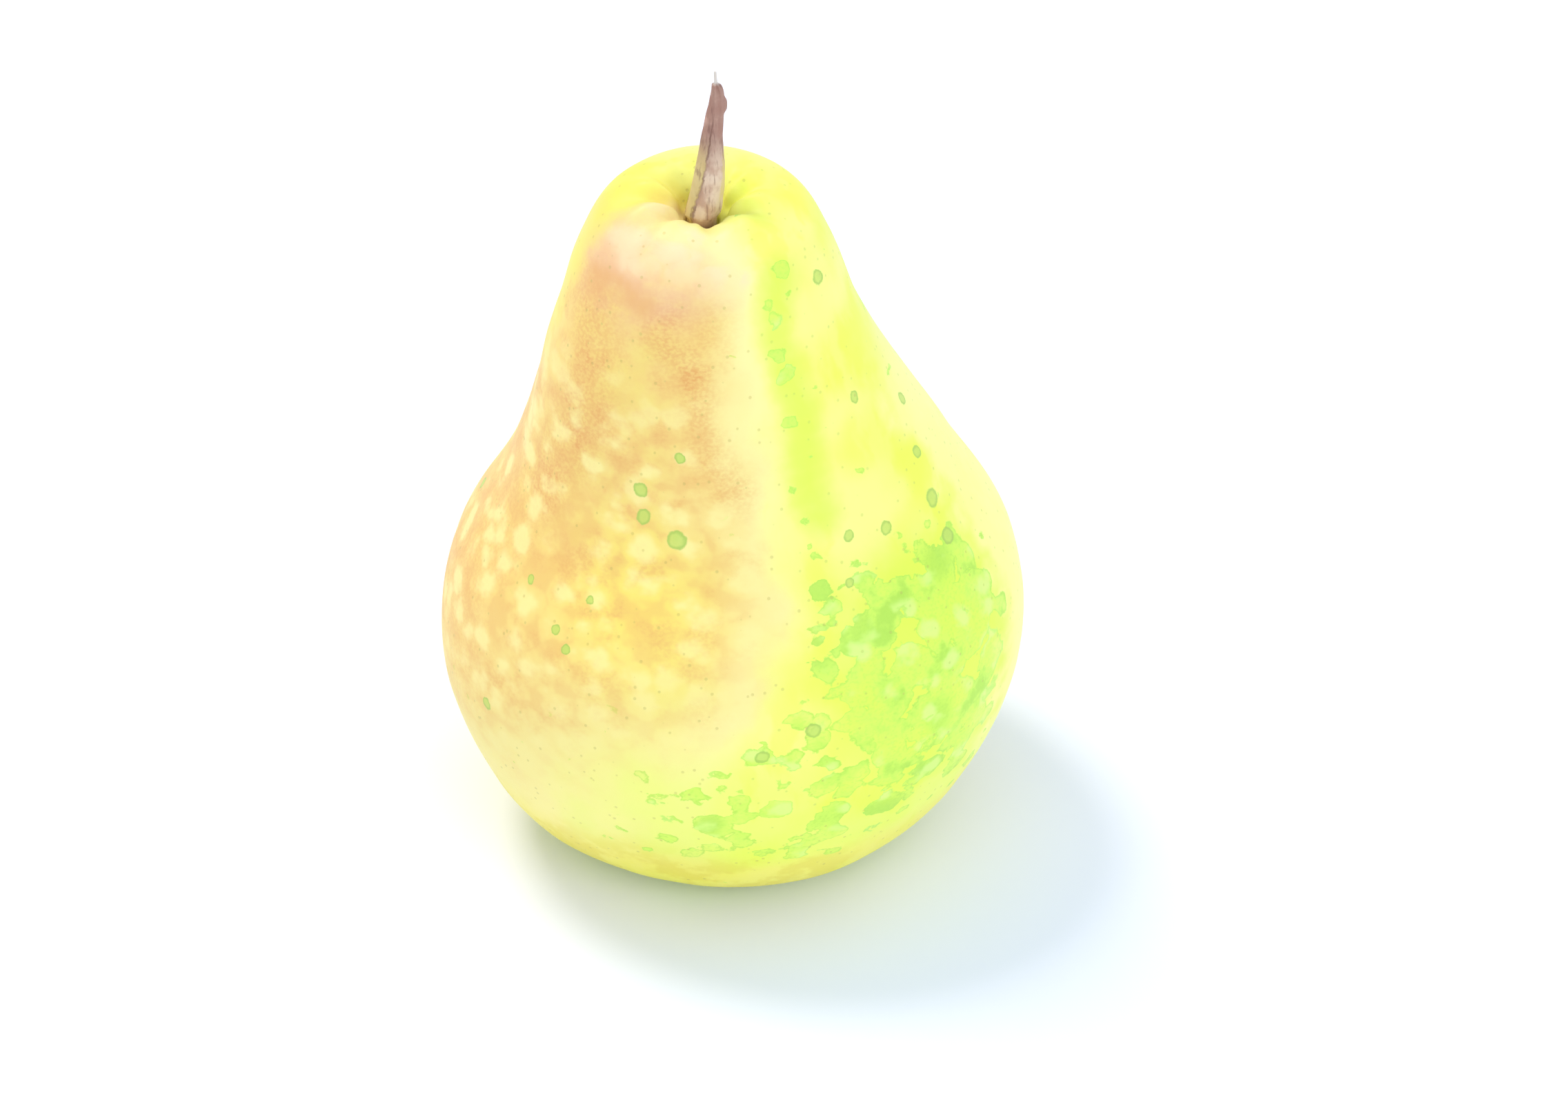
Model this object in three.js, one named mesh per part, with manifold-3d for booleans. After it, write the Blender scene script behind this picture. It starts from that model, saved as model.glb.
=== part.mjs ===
// A ripe pear, standing on its blossom end as it does on a table.
// Millimetres, +Z up. The origin lies on the surface that the pear stands on, below the middle of its
// bounding box.
//
// Three pieces make it: the fruit (skin and flesh, one solid), the woody stem that stands in the dimple
// at its top, and the dried calyx that is left of the blossom in the basin at its base.

import * as THREE from 'three';
import { mergeVertices } from 'three/addons/utils/BufferGeometryUtils.js';
import Module from 'manifold-3d';

// Half section of the fruit: [radius, height], from the middle of the calyx basin out to the resting face,
// up the flank and over the shoulder into the stem dimple
const BASIN_DEPTH = 4.6;
const REST_INNER_RADIUS = 9.5;
const REST_OUTER_RADIUS = 13.5;
const DIMPLE_FLOOR = 86.8;
const BASIN = [
  [2.0, BASIN_DEPTH],
  [4.6, 4.1],
  [7.0, 2.5],
  [8.6, 0.7],
  [REST_INNER_RADIUS, 0],
];
const FLANK = [
  [REST_OUTER_RADIUS, 0],
  [23.8, 2.5],
  [30.0, 9.0],
  [35.6, 24.0],
  [34.4, 37.8],
  [27.7, 50.0],
  [22.2, 62.2],
  [18.0, 73.4],
  [15.2, 81.8],
  [12.2, 87.2],
  [7.4, 89.6],
  [4.2, 88.6],
  [2.8, DIMPLE_FLOOR],
];

// Core line of the fruit: [height, sideways, depthways]. The neck leans a little to the left and forwards.
const CORE_LINE = [
  [0, 0, 0],
  [27, 0.1, 0],
  [50, 0.4, 0],
  [71, -2.3, -1.2],
  [94, -2.8, -3.6],
];

// A grown fruit isn't round. Each wave swells its section by a share of the radius, so many times round it,
// from a turn in radians.
const OVAL = { share: 0.008, count: 2, turn: -0.6 };
const THREE_SIDED = { share: 0.007, count: 3, turn: 1.1 };
const CALYX_RIBS = { share: 0.012, count: 5, turn: 0.5 };

// Heights between which the waves grow, and between which they fade again
const WAVES_GROW = [0, 12];
const WAVES_FADE = [75, 89];
const RIBS_GROW = [0, 5];
const RIBS_FADE = [8, 30];

// The shoulder behind the stem stands higher than the one in front of it.
const SHOULDER_START_HEIGHT = 71;
const SHOULDER_TILT = 0.17;

// The stem stands on this point of the dimple's floor, with a plain round root below it.
const STEM_BASE = new THREE.Vector3(-3.0, -3.3, DIMPLE_FLOOR);
const STEM_ROOT_RADIUS = 1.75;
const STEM_ROOT_DEPTH = 6;
const STEM_ROOT_RISE = 0.2;

// Stem: [height above its base, sideways, depthways, radius], up to a torn tip and the one fibre on it
const STEM_STATIONS = [
  [0.9, 0.0, 0.0, 2.1],
  [3.2, 0.5, 0.1, 2.0],
  [6.2, 0.95, 0.3, 1.78],
  [9.2, 1.2, 0.5, 1.42],
  [12.2, 1.45, 0.7, 1.12],
  [14.6, 1.8, 0.8, 0.9],
  [16.4, 1.9, 0.8, 0.74],
  [17.6, 1.77, 0.8, 0.52],
  [17.95, 1.72, 0.8, 0.2],
  [19.3, 1.65, 0.8, 0.15],
];
const STEM_TIP_LENGTH = 0.1;

// A small knob near the tip, where a bud sat, placed from the stem's base
const BUD_SCAR_RADIUS = 0.75;
const BUD_SCAR_STRETCH = new THREE.Vector3(1, 0.8, 1.4);
const BUD_SCAR_PLACE = new THREE.Vector3(2.3, 0.7, 14.9);

// Cup of the calyx: [radius, height], from the middle of its floor, out over the rim of its mouth and up its
// side to the flesh. It opens downwards.
const CUP_FLOOR = 3.3;
const CUP_RIM = 2.2;
const CUP_TOP = 4.2;
const CUP = [
  [0, CUP_FLOOR],
  [1.04, CUP_FLOOR],
  [1.3, CUP_RIM],
  [2.0, CUP_RIM],
  [2.3, 3.5],
  [1.8, CUP_TOP],
  [0, CUP_TOP],
];
const CALYX_ROOT_RADIUS = 1.5;
const CALYX_ROOT_DEPTH = 3;
const CALYX_ROOT_START = 3.8;

// Withered sepals: each leaves the cup at its root, arches, droops towards its tip and tapers.
const SEPAL_COUNT = 5;
const SEPAL_FIRST_TURN = 0.25;
const SEPAL_ROOT = 1.4;
const SEPAL_REACH = 6.0;
const SEPAL_ROOT_HEIGHT = 2.9;
const SEPAL_DROOP = 1.7;
const SEPAL_ARCH = 0.25;
const SEPAL_ARCH_WAVE = 3;
const SEPAL_HALF_WIDTH = 1.45;
const SEPAL_TIP_HALF_WIDTH = 0.25;
const SEPAL_TAPER = 0.8;
const SEPAL_THICKNESS = 0.6;

// A piece and the hole that it stands in keep this clear of each other, and a cut starts this far outside.
const CLEARANCE = 0.3;
const CUT_MARGIN = 1;

// Fineness of the surfaces: points round a ring, and steps along a span between two stations
const FRUIT_SIDES = 60;
const FRUIT_STEPS = 3;
const CORE_STEPS = 12;
const STEM_SIDES = 16;
const STEM_STEPS = 2;
const SOCKET_SIDES = 24;
const SCAR_SIDES = 12;
const SCAR_ROWS = 8;
const CUP_SIDES = 20;
const SEPAL_SIDES = 8;
const SEPAL_ROWS = 7;
const MERGE_DISTANCE = 1e-5;

const wasm = await Module();
wasm.setup();

const smoothstep = (low, high, x) => {
  const t = Math.min(Math.max((x - low) / (high - low), 0), 1);
  return t * t * (3 - 2 * t);
};

// A smooth line through points of two or three numbers, as plain vectors
function smoothLine(points, stepsPerSpan) {
  const curve = new THREE.CatmullRomCurve3(
    points.map(([x, y, z = 0]) => new THREE.Vector3(x, y, z)), false, 'catmullrom', 0.5);
  return curve.getPoints((points.length - 1) * stepsPerSpan);
}

// A closed body through rings of equal counts, with a point at either end. The rings run anticlockwise
// when they are seen from the last one.
function closedLoft(rings, firstPoint, lastPoint) {
  const sides = rings[0].length;
  const positions = [firstPoint, ...rings.flat(), lastPoint].flatMap((p) => [p.x, p.y, p.z]);
  const last = 1 + rings.length * sides;
  const faces = [];
  for (let i = 0; i < sides; i += 1) {
    const next = (i + 1) % sides;
    faces.push(0, 1 + next, 1 + i);
    faces.push(last, last - sides + i, last - sides + next);
    for (let ring = 0; ring < rings.length - 1; ring += 1) {
      const low = 1 + ring * sides;
      const high = low + sides;
      faces.push(low + i, low + next, high + next);
      faces.push(low + i, high + next, high + i);
    }
  }
  const geometry = new THREE.BufferGeometry();
  geometry.setAttribute('position', new THREE.Float32BufferAttribute(positions, 3));
  geometry.setIndex(faces);
  return geometry;
}

function toSolid(geometry) {
  const bare = geometry.clone();
  bare.deleteAttribute('normal');
  bare.deleteAttribute('uv');
  const merged = mergeVertices(bare, MERGE_DISTANCE);
  return new wasm.Manifold(new wasm.Mesh({
    numProp: 3,
    vertProperties: new Float32Array(merged.attributes.position.array),
    triVerts: new Uint32Array(merged.index.array),
  }));
}

function toGeometry(solid) {
  const mesh = solid.getMesh();
  const geometry = new THREE.BufferGeometry();
  geometry.setAttribute('position', new THREE.BufferAttribute(new Float32Array(mesh.vertProperties), 3));
  geometry.setIndex(new THREE.BufferAttribute(new Uint32Array(mesh.triVerts), 1));
  geometry.computeVertexNormals();
  return geometry;
}

// An upright round peg between two heights, for roots and for the holes that they stand in
function peg(x, y, low, high, radius, sides) {
  const geometry = new THREE.CylinderGeometry(radius, radius, high - low, sides);
  geometry.rotateX(Math.PI / 2);
  geometry.translate(x, y, (low + high) / 2);
  return geometry;
}

const coreLine = smoothLine(CORE_LINE, CORE_STEPS);

// Where the core line is at a height
function coreAt(height) {
  const above = coreLine.findIndex((p) => p.x >= height);
  const high = coreLine[Math.max(above, 1)];
  const low = coreLine[Math.max(above, 1) - 1];
  const share = (height - low.x) / (high.x - low.x);
  return { x: low.y + (high.y - low.y) * share, y: low.z + (high.z - low.z) * share };
}

// How far the fruit swells beyond a round section. Angles run anticlockwise from +X, seen from above.
function swelling(angle, height) {
  const wave = ({ share, count, turn }) => share * Math.cos(count * angle + turn);
  const body = smoothstep(...WAVES_GROW, height) * (1 - smoothstep(...WAVES_FADE, height));
  const ribs = smoothstep(...RIBS_GROW, height) * (1 - smoothstep(...RIBS_FADE, height));
  return 1 + body * (wave(OVAL) + wave(THREE_SIDED)) + ribs * wave(CALYX_RIBS);
}

function fruitPoint(radius, height, angle) {
  const core = coreAt(height);
  const across = radius * swelling(angle, height);
  const tilt = SHOULDER_TILT * smoothstep(SHOULDER_START_HEIGHT, DIMPLE_FLOOR, height);
  return new THREE.Vector3(
    core.x + across * Math.cos(angle),
    core.y + across * Math.sin(angle),
    height + tilt * across * Math.sin(angle));
}

function fruitSolid() {
  const section = [...smoothLine(BASIN, FRUIT_STEPS), ...smoothLine(FLANK, FRUIT_STEPS)];
  const rings = section.map((p) => Array.from({ length: FRUIT_SIDES }, (_, i) =>
    fruitPoint(p.x, p.y, (i / FRUIT_SIDES) * 2 * Math.PI)));
  const whole = toSolid(closedLoft(rings, fruitPoint(0, BASIN_DEPTH, 0), fruitPoint(0, DIMPLE_FLOOR, 0)));
  const stemSocket = peg(STEM_BASE.x, STEM_BASE.y, DIMPLE_FLOOR - STEM_ROOT_DEPTH - CLEARANCE,
    DIMPLE_FLOOR + CUT_MARGIN, STEM_ROOT_RADIUS + CLEARANCE, SOCKET_SIDES);
  const calyxSocket = peg(0, 0, BASIN_DEPTH - CUT_MARGIN,
    BASIN_DEPTH + CALYX_ROOT_DEPTH + CLEARANCE, CALYX_ROOT_RADIUS + CLEARANCE, SOCKET_SIDES);
  return whole.subtract(toSolid(stemSocket)).subtract(toSolid(calyxSocket));
}

// A level ring round a point that is given from the stem's base
function stemRing(x, y, rise, radius) {
  return Array.from({ length: STEM_SIDES }, (_, i) => {
    const angle = (i / STEM_SIDES) * 2 * Math.PI;
    const offset = new THREE.Vector3(x + radius * Math.cos(angle), y + radius * Math.sin(angle), rise);
    return offset.add(STEM_BASE);
  });
}

// The stem tapers from its foot in the dimple to a torn tip that ends in one thin fibre.
function stemSolid() {
  const along = smoothLine(STEM_STATIONS.map(([rise, x, y]) => [x, y, rise]), STEM_STEPS);
  const radii = smoothLine(STEM_STATIONS.map(([rise, , , radius]) => [radius, rise]), STEM_STEPS);
  const shaftRings = along.map((p, i) => stemRing(p.x, p.y, p.z, radii[i].x));
  const rootRings = [-STEM_ROOT_DEPTH, STEM_ROOT_RISE].map((rise) => stemRing(0, 0, rise, STEM_ROOT_RADIUS));
  const [tipRise, tipX, tipY] = STEM_STATIONS[STEM_STATIONS.length - 1];
  const tip = new THREE.Vector3(tipX, tipY, tipRise + STEM_TIP_LENGTH).add(STEM_BASE);
  const foot = new THREE.Vector3(0, 0, -STEM_ROOT_DEPTH).add(STEM_BASE);
  const shaft = toSolid(closedLoft([...rootRings, ...shaftRings], foot, tip));

  const scar = new THREE.SphereGeometry(BUD_SCAR_RADIUS, SCAR_SIDES, SCAR_ROWS);
  scar.scale(...BUD_SCAR_STRETCH);
  scar.translate(...BUD_SCAR_PLACE.clone().add(STEM_BASE));
  return shaft.add(toSolid(scar));
}

// One withered sepal: a thin blade that leaves the cup, lies out along the basin and curls down at its tip
function sepalSolid(angle) {
  const rings = Array.from({ length: SEPAL_ROWS }, (_, i) => {
    const share = i / (SEPAL_ROWS - 1);
    const out = SEPAL_ROOT + share * (SEPAL_REACH - SEPAL_ROOT);
    const arch = SEPAL_ARCH * Math.sin(SEPAL_ARCH_WAVE * share);
    const height = SEPAL_ROOT_HEIGHT - SEPAL_DROOP * share ** 2 + arch;
    const half = SEPAL_TIP_HALF_WIDTH + SEPAL_HALF_WIDTH * (1 - share) ** SEPAL_TAPER;
    return Array.from({ length: SEPAL_SIDES }, (_unused, j) => {
      const turn = (j / SEPAL_SIDES) * 2 * Math.PI;
      return new THREE.Vector3(
        out, half * Math.cos(turn), height + (SEPAL_THICKNESS / 2) * Math.sin(turn));
    });
  });
  const middle = (ring) => ring.reduce((sum, p) => sum.add(p), new THREE.Vector3()).divideScalar(ring.length);
  const geometry = closedLoft(rings, middle(rings[0]), middle(rings[SEPAL_ROWS - 1]));
  geometry.rotateZ(angle);
  return toSolid(geometry);
}

function calyxSolid() {
  const profile = CUP.map(([radius, height]) => new THREE.Vector2(radius, height));
  const cup = new THREE.LatheGeometry(profile, CUP_SIDES);
  cup.rotateX(Math.PI / 2);
  const root = peg(0, 0, CALYX_ROOT_START, BASIN_DEPTH + CALYX_ROOT_DEPTH, CALYX_ROOT_RADIUS, STEM_SIDES);
  const sepals = Array.from({ length: SEPAL_COUNT }, (_, i) =>
    sepalSolid(((i + SEPAL_FIRST_TURN) / SEPAL_COUNT) * 2 * Math.PI));
  return sepals.reduce((whole, sepal) => whole.add(sepal), toSolid(cup).add(toSolid(root)));
}

function piece(name, solid, colour, roughness) {
  const material = new THREE.MeshStandardMaterial({ color: colour, roughness, metalness: 0 });
  const mesh = new THREE.Mesh(toGeometry(solid), material);
  mesh.name = name;
  return mesh;
}

const pear = new THREE.Group();
pear.add(
  piece('fruit', fruitSolid(), 0xf2e672, 0.42),
  piece('stem', stemSolid(), 0x9a7a68, 0.75),
  piece('calyx', calyxSolid(), 0x4a3626, 0.85));

// The pear is stood with the middle of its bounding box above the origin.
const middle = new THREE.Box3().setFromObject(pear).getCenter(new THREE.Vector3());
pear.position.set(-middle.x, -middle.y, 0);

const part = new THREE.Group();
part.add(pear);

export default part;
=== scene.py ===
# %% [markdown]
# # A ripe pear, dressed around its solid model
# The solid model gives three bodies: the fruit, its stem, and the dried calyx in the hollow underneath.
# They are simple on purpose. This lesson makes a fine surface for each of them, in the same place and of
# the same size, and then the finishes: a blushed and mottled skin, mauve-brown bark, and a papery calyx.

# %% Load the solid model
import math

import bpy
import numpy as np
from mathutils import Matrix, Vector, noise


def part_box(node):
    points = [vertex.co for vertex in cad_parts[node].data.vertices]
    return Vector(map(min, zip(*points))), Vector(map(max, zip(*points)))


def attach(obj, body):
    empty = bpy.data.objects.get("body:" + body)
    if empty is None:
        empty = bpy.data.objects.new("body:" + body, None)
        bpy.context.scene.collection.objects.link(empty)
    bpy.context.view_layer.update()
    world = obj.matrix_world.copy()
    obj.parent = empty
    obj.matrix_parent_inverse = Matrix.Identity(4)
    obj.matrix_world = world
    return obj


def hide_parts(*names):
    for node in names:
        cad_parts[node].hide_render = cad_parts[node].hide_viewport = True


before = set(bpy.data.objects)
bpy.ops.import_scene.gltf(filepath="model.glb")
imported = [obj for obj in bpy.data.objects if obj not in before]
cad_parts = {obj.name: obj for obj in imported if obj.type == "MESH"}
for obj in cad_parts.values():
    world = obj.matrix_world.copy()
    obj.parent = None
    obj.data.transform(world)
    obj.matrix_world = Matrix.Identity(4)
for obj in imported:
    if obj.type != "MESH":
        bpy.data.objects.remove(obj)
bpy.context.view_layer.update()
MM = 0.001

for name in sorted(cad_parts):
    low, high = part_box(name)
    print(name, "from", [round(v / MM, 1) for v in low], "to", [round(v / MM, 1) for v in high], "mm")

# %% [markdown]
# ## The camera
# The picture looks down on the pear from about 34 degrees, from straight in front. The lens follows from
# one known size: the pear is 72 mm wide and covers 852 of the picture's 2273 columns. A camera that stands
# 700 mm away, and is then turned a little so that the pear sits left of the middle, gives the same framing
# without any lens shift.

# %% Camera
PICTURE_WIDTH_PX = 2273
PICTURE_HEIGHT_PX = 1624
PEAR_WIDTH_PX = 852
PEAR_WIDTH = 72 * MM
PEAR_MIDDLE_PX = (1062, 675)
PEAR_MIDDLE = Vector((0, 0, 49 * MM))
CAMERA_DISTANCE = 700 * MM
CAMERA_ELEVATION = math.radians(34)
SENSOR_WIDTH = 36

metres_per_px = PEAR_WIDTH / PEAR_WIDTH_PX
towards_camera = Vector((0, -math.cos(CAMERA_ELEVATION), math.sin(CAMERA_ELEVATION)))
picture_right = Vector((1, 0, 0))
picture_up = Vector((0, math.sin(CAMERA_ELEVATION), math.cos(CAMERA_ELEVATION)))
right_px = PICTURE_WIDTH_PX / 2 - PEAR_MIDDLE_PX[0]
down_px = PICTURE_HEIGHT_PX / 2 - PEAR_MIDDLE_PX[1]
aim = PEAR_MIDDLE + (picture_right * right_px - picture_up * down_px) * metres_per_px

camera = bpy.data.objects.new("camera", bpy.data.cameras.new("camera"))
camera.data.sensor_width = SENSOR_WIDTH
camera.data.lens = SENSOR_WIDTH * CAMERA_DISTANCE / (PICTURE_WIDTH_PX * metres_per_px)
camera.location = PEAR_MIDDLE + towards_camera * CAMERA_DISTANCE
camera.rotation_euler = (aim - camera.location).to_track_quat("-Z", "Y").to_euler()
bpy.context.scene.collection.objects.link(camera)
bpy.context.scene.camera = camera
print("lens", round(camera.data.lens, 1), "mm, aimed at", [round(v / MM, 1) for v in aim], "mm")

# %% [markdown]
# ## A helper for finishes
# A material in Blender is a sheet of nodes joined by wires. Written out node by node, even a small sum
# takes many lines. The class `Wire` wraps one output socket, so that a sum such as `1 - mask * 0.5` adds
# its Math nodes by itself, and a sum with a vector in it adds Vector Math nodes. Every other node comes
# from one method of `Recipe`, `node`, which takes the node's type, its settings, and what goes into its
# sockets.

# %% Wires
class Wire:
    """One output socket of a material, with Python's operators for its sums."""

    def __init__(self, recipe, socket):
        self.recipe = recipe
        self.socket = socket
        self.is_vector = socket.type in ("VECTOR", "RGBA")

    def sum(self, operation, first, second):
        """One Math node, or a Vector Math node where either side is a vector."""
        pair = (first, second)
        if not any(isinstance(item, Wire) and item.is_vector for item in pair):
            return self.recipe.node("ShaderNodeMath", {"operation": operation}, dict(enumerate(pair)))
        spread = [(item,) * 3 if isinstance(item, (int, float)) else item for item in pair]
        return self.recipe.node("ShaderNodeVectorMath", {"operation": operation}, dict(enumerate(spread)))

    def __add__(self, other):
        return self.sum("ADD", self, other)

    def __radd__(self, other):
        return self.sum("ADD", other, self)

    def __sub__(self, other):
        return self.sum("SUBTRACT", self, other)

    def __rsub__(self, other):
        return self.sum("SUBTRACT", other, self)

    def __mul__(self, other):
        return self.sum("MULTIPLY", self, other)

    def __rmul__(self, other):
        return self.sum("MULTIPLY", other, self)

    def most(self, other):
        return self.sum("MAXIMUM", self, other)

    def least(self, other):
        return self.sum("MINIMUM", self, other)

    def output(self, which):
        """Another output of the same node."""
        return Wire(self.recipe, self.socket.node.outputs[which])


# %% [markdown]
# A recipe also has a few words for what natural surfaces need again and again: where a point is in
# millimetres, the angle it is turned to, cloudy noise of a given grain, cells, a smooth step from one value
# to another, and the mixing of two colours by a share.

# %% Recipes
class Recipe:
    """A material that is written down step by step."""

    def __init__(self, name):
        self.material = bpy.data.materials.new(name)
        self.material.use_nodes = True
        self.tree = self.material.node_tree
        self.tree.nodes.clear()

    def node(self, kind, settings, inputs, output=0):
        """Any node: its type, its settings, the values or wires of its sockets, and which output goes on."""
        made = self.tree.nodes.new(kind)
        for name, value in settings.items():
            setattr(made, name, value)
        for key, value in inputs.items():
            if isinstance(value, Wire):
                self.tree.links.new(value.socket, made.inputs[key])
            else:
                made.inputs[key].default_value = value
        return Wire(self, made.outputs[output]) if len(made.outputs) else None

    def place(self):
        """Where a point of the piece is, in millimetres."""
        return self.node("ShaderNodeTexCoord", {}, {}, "Object") * (1 / MM)

    def axes(self, vector):
        """The three numbers of a vector, each on a wire of its own."""
        return [self.node("ShaderNodeSeparateXYZ", {}, {0: vector}, axis) for axis in range(3)]

    def turn(self, right, front):
        """The angle to the right of the front, in degrees."""
        radians = self.node("ShaderNodeMath", {"operation": "ARCTAN2"}, {0: right, 1: front})
        return radians * math.degrees(1)

    def clouds(self, place, grain, detail=2.0):
        """Soft noise from 0 to 1, with lumps about as wide as the grain. Output 1 is a colour."""
        inputs = {"Vector": place, "Scale": 1 / grain, "Detail": detail}
        return self.node("ShaderNodeTexNoise", {"noise_dimensions": "3D"}, inputs)

    def stirred(self, place, grain, reach):
        """A place moved about by up to reach millimetres, so that what is drawn on it gets wavy edges."""
        return place + (self.clouds(place, grain).output(1) - 0.5) * (2 * reach)

    def cells(self, place, grain):
        """Distance from the middle of a cell, in cell widths."""
        return self.node("ShaderNodeTexVoronoi", {"feature": "F1"}, {"Vector": place, "Scale": 1 / grain})

    def fade(self, value, start, end):
        """0 at start and 1 at end, with a smooth step between them. Start may be the larger of the two."""
        inputs = {"Value": value, "From Min": start, "From Max": end}
        return self.node("ShaderNodeMapRange", {"interpolation_type": "SMOOTHSTEP"}, inputs)

    def mix(self, share, first, second):
        """The first colour where share is 0 and the second where it is 1."""
        colours = [item if isinstance(item, Wire) else (*item, 1) for item in (first, second)]
        return self.node("ShaderNodeMix", {"data_type": "RGBA"}, {0: share, 6: colours[0], 7: colours[1]}, 2)

    def bump(self, height, depth):
        """Fine relief: height from 0 to 1 stands for a depth in millimetres."""
        return self.node("ShaderNodeBump", {}, {"Height": height, "Distance": depth * MM, "Strength": 1.0})

    def surface(self, sockets):
        """Ends the recipe with a Principled surface."""
        shader = self.node("ShaderNodeBsdfPrincipled", {}, sockets)
        self.node("ShaderNodeOutputMaterial", {}, {"Surface": shader})
        print(self.material.name, "is made of", len(self.tree.nodes), "nodes")
        return self.material


def shade(red, green, blue):
    """A colour as a screen shows it, 0 to 255, turned into light values by the standard screen curve."""
    parts = [value / 255 for value in (red, green, blue)]
    return tuple(v / 12.92 if v <= 0.04045 else ((v + 0.055) / 1.055) ** 2.4 for v in parts)


# %% [markdown]
# ## Meshes from rings
# All three pieces grow round a line, as most parts of a plant do. So each is a stack of rings of points,
# with a single point at either end. The rings are computed as NumPy arrays, which is quick even for 90,000
# points. A modifier stack could smooth a coarse mesh instead, but then the puckers and ribs would be lost.

# %% Smooth lines and steps
def smooth_line(points, steps):
    """Points on the smooth line through the given ones, with so many steps to a span."""
    knots = np.array(points, float)
    before, after = 2 * knots[0] - knots[1], 2 * knots[-1] - knots[-2]
    padded = np.vstack([before, knots, after])
    share = (np.arange(steps) / steps)[:, None]
    line = []
    for p0, p1, p2, p3 in zip(padded, padded[1:], padded[2:], padded[3:]):
        leave, arrive = (p2 - p0) / 2, (p3 - p1) / 2
        line.append(p1 + leave * share + (3 * (p2 - p1) - 2 * leave - arrive) * share**2
                    + (2 * (p1 - p2) + leave + arrive) * share**3)
    return np.vstack([*line, knots[-1:]])


def spaced_evenly(line, count):
    """The same line with so many points, all as far apart along it."""
    lengths = np.r_[0, np.cumsum(np.linalg.norm(np.diff(line, axis=0), axis=1))]
    wanted = np.linspace(0, lengths[-1], count)
    return np.column_stack([np.interp(wanted, lengths, column) for column in line.T])


def smoothstep(low, high, x):
    """0 up to low and 1 from high on, with a smooth step between them."""
    t = np.clip((x - low) / (high - low), 0, 1)
    return t * t * (3 - 2 * t)


def between(begins, ends, x):
    """1 between two soft edges, 0 outside them. Each edge is a pair of values of x."""
    return smoothstep(*begins, x) * (1 - smoothstep(*ends, x))


def waves(angle, *shapes):
    """A sum of waves round a ring. Each has a height, a count to the turn, and a start."""
    return sum(high * np.cos(count * angle + start) for high, count, start in shapes)


# %% Rings and pieces
def level_ring(centre, radius, height, sides):
    around = np.linspace(0, 2 * math.pi, sides, endpoint=False)
    return np.column_stack([centre[0] + radius * np.cos(around), centre[1] + radius * np.sin(around),
                            np.full(sides, height)])


def closed_loft(rings, first, last):
    """Points and faces of a closed body. The rings run anticlockwise when seen from the last one."""
    rows, sides = rings.shape[:2]
    here = 1 + np.arange(sides)
    beside = 1 + (np.arange(sides) + 1) % sides
    points = np.vstack([[first], rings.reshape(-1, 3), [last]])
    end = len(points) - 1
    top = (rows - 1) * sides
    faces = [*zip([0] * sides, beside, here), *zip([end] * sides, here + top, beside + top)]
    for low in range(0, top, sides):
        faces += [*zip(here + low, beside + low, beside + low + sides, here + low + sides)]
    return points, [tuple(int(i) for i in face) for face in faces]


def make_piece(name, bodies, finish, node):
    """One piece of the pear from closed bodies in millimetres. It stands for a node of the solid model."""
    points, faces = [], []
    for body_points, body_faces in bodies:
        start = sum(len(p) for p in points)
        points.append(body_points)
        faces += [tuple(i + start for i in face) for face in body_faces]
    mesh = bpy.data.meshes.new(name)
    mesh.from_pydata((np.vstack(points) * MM).tolist(), [], faces)
    mesh.validate()
    mesh.shade_smooth()
    mesh.materials.append(finish)
    piece = bpy.data.objects.new(name, mesh)
    bpy.context.scene.collection.objects.link(piece)
    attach(piece, "root")
    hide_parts(node)
    size = [round(v / MM, 1) for v in piece.dimensions]
    print(name, "has", len(mesh.vertices), "points and measures", size, "mm")


# %% [markdown]
# ## The form of the fruit
# A pear's form is a half section turned round a core line that leans. The section runs from the basin under
# the fruit, over the ring that it rests on, up the flank and over the shoulder into the dimple of the stem.
# These are the same numbers as in the solid model, in millimetres.

# %% Section and core line of the fruit
BASIN_DEPTH = 4.6
REST_INNER_RADIUS = 9.5
REST_OUTER_RADIUS = 13.5
DIMPLE_FLOOR = 86.8
BASIN = [(2.0, BASIN_DEPTH), (4.6, 4.1), (7.0, 2.5), (8.6, 0.7), (REST_INNER_RADIUS, 0)]
FLANK = [(REST_OUTER_RADIUS, 0), (23.8, 2.5), (30.0, 9.0), (35.6, 24.0), (34.4, 37.8), (27.7, 50.0),
         (22.2, 62.2), (18.0, 73.4), (15.2, 81.8), (12.2, 87.2), (7.4, 89.6), (4.2, 88.6),
         (2.8, DIMPLE_FLOOR)]
CORE_LINE = [(0, 0, 0), (27, 0.1, 0), (50, 0.4, 0), (71, -2.3, -1.2), (94, -2.8, -3.6)]
SPAN_STEPS = 40
FRUIT_ROWS = 236

core_line = smooth_line(CORE_LINE, SPAN_STEPS)
half_section = np.vstack([smooth_line(BASIN, SPAN_STEPS), smooth_line(FLANK, SPAN_STEPS)])
section = spaced_evenly(half_section, FRUIT_ROWS)
print("section:", len(section), "points, up to", round(float(section[:, 1].max()), 1), "mm high")

# %% [markdown]
# A pear isn't quite round. A few slow waves round the core make it slightly oval and three-sided, and give
# it five low ribs near the calyx, one for each sepal. The shoulder tilts with the leaning neck. Each wave
# is a height, as a share of the radius, a count to the turn, and a start.

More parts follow.
